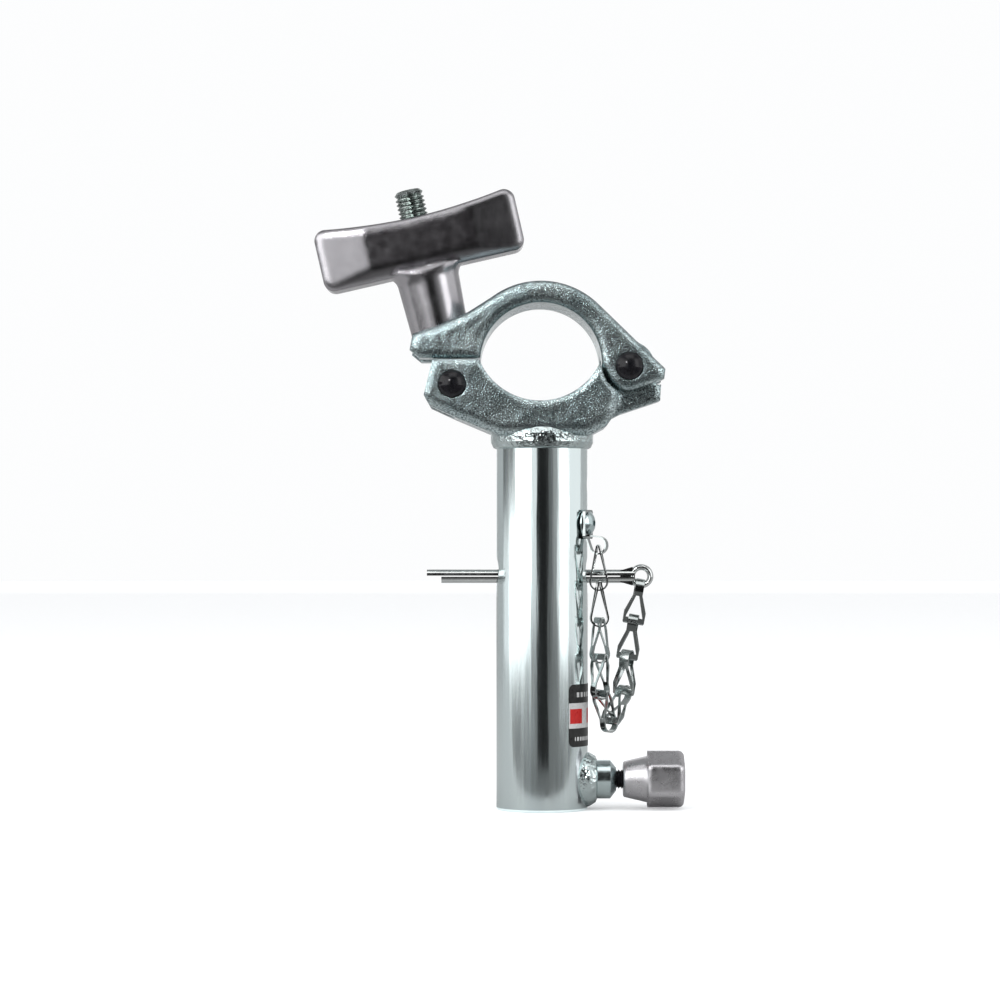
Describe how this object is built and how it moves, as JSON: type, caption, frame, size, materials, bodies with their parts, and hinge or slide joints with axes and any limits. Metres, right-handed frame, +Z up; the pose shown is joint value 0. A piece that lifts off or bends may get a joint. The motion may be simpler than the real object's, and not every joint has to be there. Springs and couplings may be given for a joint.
{
  "type": "hinged pipe clamp with receiver tube",
  "caption": "Hinged clamp for a round pipe on a receiver tube, closed by a swing bolt and wing nut, with a chained safety pin and a side lock screw with knob.",
  "frame": {"origin": "centre of the receiver tube's open lower end", "axes": "+X to the right along the jaws, from the swing bolt towards the hinge, +Y to the back, along the clamped pipe, +Z up the receiver tube towards the jaws"},
  "size_m": [0.1536, 0.0453, 0.2585],
  "materials": {
    "tube_zinc": "bright zinc plate on smooth drawn steel",
    "forged_zinc": "bright zinc plate on grainy forged steel",
    "weld_zinc": "zinc plated weld bead",
    "bolt_zinc": "zinc plated turned steel",
    "black_oxide": "glossy black oxide",
    "cast_aluminium": "tumbled and lightly polished casting",
    "bright_wire": "bright zinc plate",
    "bright_strip": "bright zinc plate",
    "label_film": "satin printed film"
  },
  "bodies": {
    "frame": {"receiver_tube": "tube_zinc", "lower_jaw": "forged_zinc", "saddle_weld": "weld_zinc", "lock_boss": "forged_zinc", "boss_weld": "weld_zinc", "hinge_pin": "black_oxide", "swing_bolt_pin": "black_oxide", "chain_rivet": "bright_wire", "chain_washer": "bright_wire", "chain_link_01": "bright_strip", "label": "label_film"},
    "jaw": {"upper_jaw": "forged_zinc"},
    "bolt": {"swing_bolt": "bolt_zinc"},
    "washer": {"nut_washer": "bolt_zinc"},
    "nut": {"wing_nut": "cast_aluminium"},
    "screw": {"lock_screw": "black_oxide"},
    "knob": {"lock_knob": "cast_aluminium"},
    "pin": {"safety_pin": "bright_wire"},
    "link_02": {"chain_link_02": "bright_strip"},
    "link_03": {"chain_link_03": "bright_strip"},
    "link_04": {"chain_link_04": "bright_strip"},
    "link_05": {"chain_link_05": "bright_strip"},
    "link_06": {"chain_link_06": "bright_strip"},
    "link_10": {"chain_link_10": "bright_strip"},
    "link_09": {"chain_link_09": "bright_strip"},
    "link_08": {"chain_link_08": "bright_strip"},
    "link_07": {"chain_link_07": "bright_strip"}
  },
  "joints": [
    {"name": "jaw_open", "type": "hinge", "parent": "frame", "child": "jaw", "pos_m": [0.0356, 0, 0.1834], "axis": [0, 1, 0], "range_deg": [0, 52.01]},
    {"name": "bolt_swing", "type": "hinge", "parent": "frame", "child": "bolt", "pos_m": [-0.0372, 0, 0.176], "axis": [0, -1, 0], "range_deg": [0, 130.01]},
    {"name": "nut_travel", "type": "slide", "parent": "bolt", "child": "washer", "axis": [-0.2233, 0, 0.9748], "range_m": [0, 0.04988]},
    {"name": "nut_turn", "type": "hinge", "parent": "washer", "child": "nut", "pos_m": [-0.0372, 0, 0.176], "axis": [-0.2233, 0, 0.9748], "range_deg": [0, 10260]},
    {"name": "screw_travel", "type": "slide", "parent": "frame", "child": "screw", "axis": [1, 0, 0], "range_m": [-0.0025, 0.00688]},
    {"name": "knob_turn", "type": "hinge", "parent": "screw", "child": "knob", "pos_m": [0, 0, 0.0125], "axis": [1, 0, 0], "range_deg": [-720.01, 1980.01]},
    {"name": "pin_slide", "type": "slide", "parent": "frame", "child": "pin", "axis": [1, 0, 0], "range_m": [0, 0.062]},
    {"name": "link_02_hang", "type": "hinge", "parent": "frame", "child": "link_02", "pos_m": [0.02318, -0.00937, 0.10985], "axis": [0, 1, 0], "range_deg": [-26.77, 0.01]},
    {"name": "link_03_hang", "type": "hinge", "parent": "link_02", "child": "link_03", "pos_m": [0.02339, -0.00929, 0.09485], "axis": [0, 1, 0], "range_deg": [-2.66, 0.01]},
    {"name": "link_04_hang", "type": "hinge", "parent": "link_03", "child": "link_04", "pos_m": [0.0236, -0.00921, 0.07985], "axis": [0, 1, 0], "range_deg": [-2.53, 0.01]},
    {"name": "link_05_hang", "type": "hinge", "parent": "link_04", "child": "link_05", "pos_m": [0.02373, -0.00913, 0.06485], "axis": [0, 1, 0], "range_deg": [-3.08, 0.01]},
    {"name": "link_06_hang", "type": "hinge", "parent": "link_05", "child": "link_06", "pos_m": [0.02386, -0.00905, 0.04985], "axis": [0, 1, 0], "range_deg": [-0.01, 10.11]},
    {"name": "link_10_hang", "type": "hinge", "parent": "pin", "child": "link_10", "pos_m": [0.0413, 0, 0.097], "axis": [0, 1, 0], "range_deg": [-0.01, 25.81]},
    {"name": "link_09_hang", "type": "hinge", "parent": "link_10", "child": "link_09", "pos_m": [0.03789, 0, 0.07745], "axis": [0, 1, 0], "range_deg": [-0.01, 2.85]},
    {"name": "link_08_hang", "type": "hinge", "parent": "link_09", "child": "link_08", "pos_m": [0.03531, 0, 0.06267], "axis": [0, 1, 0], "range_deg": [-0.01, 2.03]},
    {"name": "link_07_hang", "type": "hinge", "parent": "link_08", "child": "link_07", "pos_m": [0.034, 0.00182, 0.04784], "axis": [0, 1, 0], "range_deg": [-14.27, 0.01]}
  ],
  "couplings": [
    {"joint": "jaw_open", "follows": "nut_turn", "ratio": 0.0050682},
    {"joint": "bolt_swing", "follows": "nut_turn", "ratio": 0.012671},
    {"joint": "nut_travel", "follows": "nut_turn", "m_per_rad": 0.00027852},
    {"joint": "knob_turn", "follows": "screw_travel", "rad_per_m": 5026.5},
    {"joint": "link_02_hang", "follows": "pin_slide", "rad_per_m": -7.5331},
    {"joint": "link_03_hang", "follows": "pin_slide", "rad_per_m": -0.74643},
    {"joint": "link_04_hang", "follows": "pin_slide", "rad_per_m": -0.70942},
    {"joint": "link_05_hang", "follows": "pin_slide", "rad_per_m": -0.86348},
    {"joint": "link_06_hang", "follows": "pin_slide", "rad_per_m": 2.8429},
    {"joint": "link_10_hang", "follows": "pin_slide", "rad_per_m": 7.2624},
    {"joint": "link_09_hang", "follows": "pin_slide", "rad_per_m": 0.80087},
    {"joint": "link_08_hang", "follows": "pin_slide", "rad_per_m": 0.56882},
    {"joint": "link_07_hang", "follows": "pin_slide", "rad_per_m": -4.0151}
  ]
}
